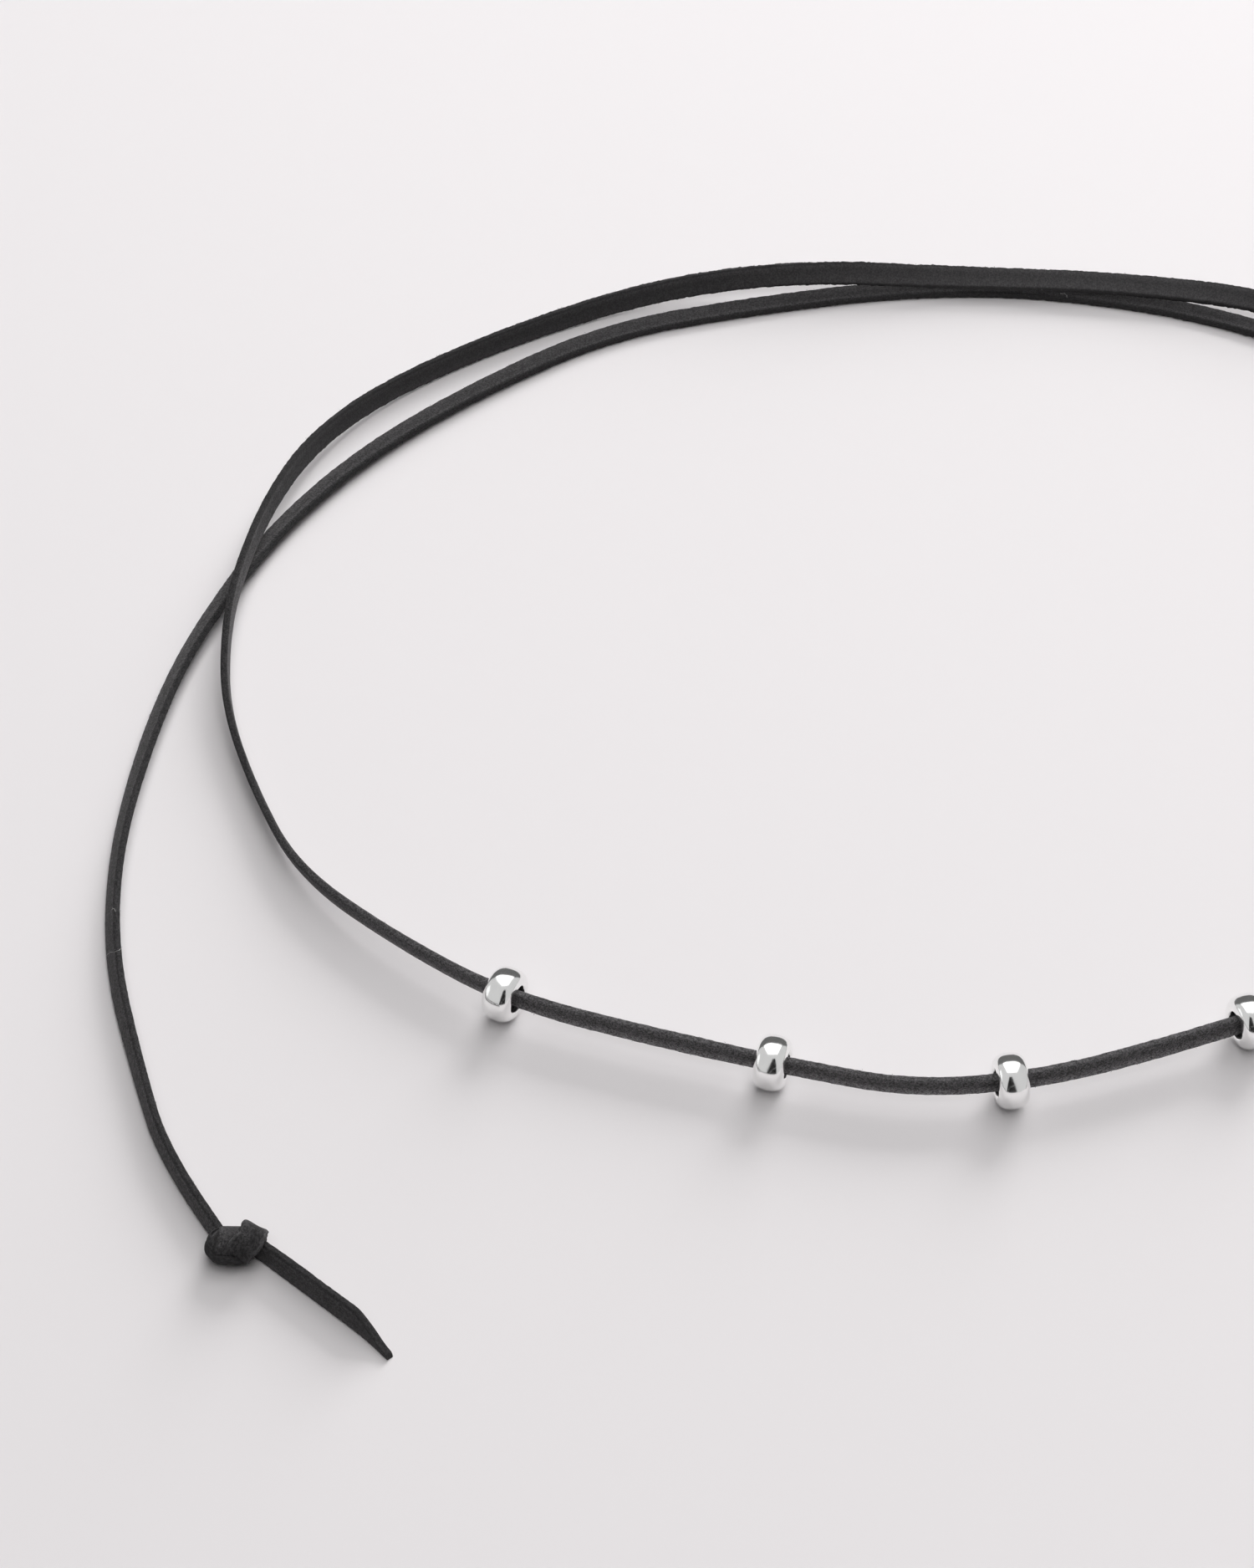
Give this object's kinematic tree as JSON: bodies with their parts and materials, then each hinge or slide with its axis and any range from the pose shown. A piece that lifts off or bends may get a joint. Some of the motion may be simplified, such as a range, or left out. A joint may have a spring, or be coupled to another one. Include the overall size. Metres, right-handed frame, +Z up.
{
  "type": "necklace",
  "caption": "Flat leather lace wrapped in a crossing loop, with polished metal ring beads at the front and a knot with an angled cut tail at each loose end.",
  "frame": {"origin": "on the surface the necklace lies on, under the middle of its bounding box", "axes": "+X across the loop from the crossing side to the other side, +Y from the beaded front to the back, +Z up from the surface"},
  "size_m": [0.2082, 0.1955, 0.009],
  "materials": {
    "leather": "matt dark grey leather with a faint speckle and fuzzy cut edges",
    "silver": "polished silver"
  },
  "bodies": {
    "root": {"leather_lace": "leather", "bead_1": "silver", "bead_2": "silver", "bead_3": "silver", "bead_4": "silver", "knot_left": "leather", "knot_right": "leather"}
  },
  "joints": []
}
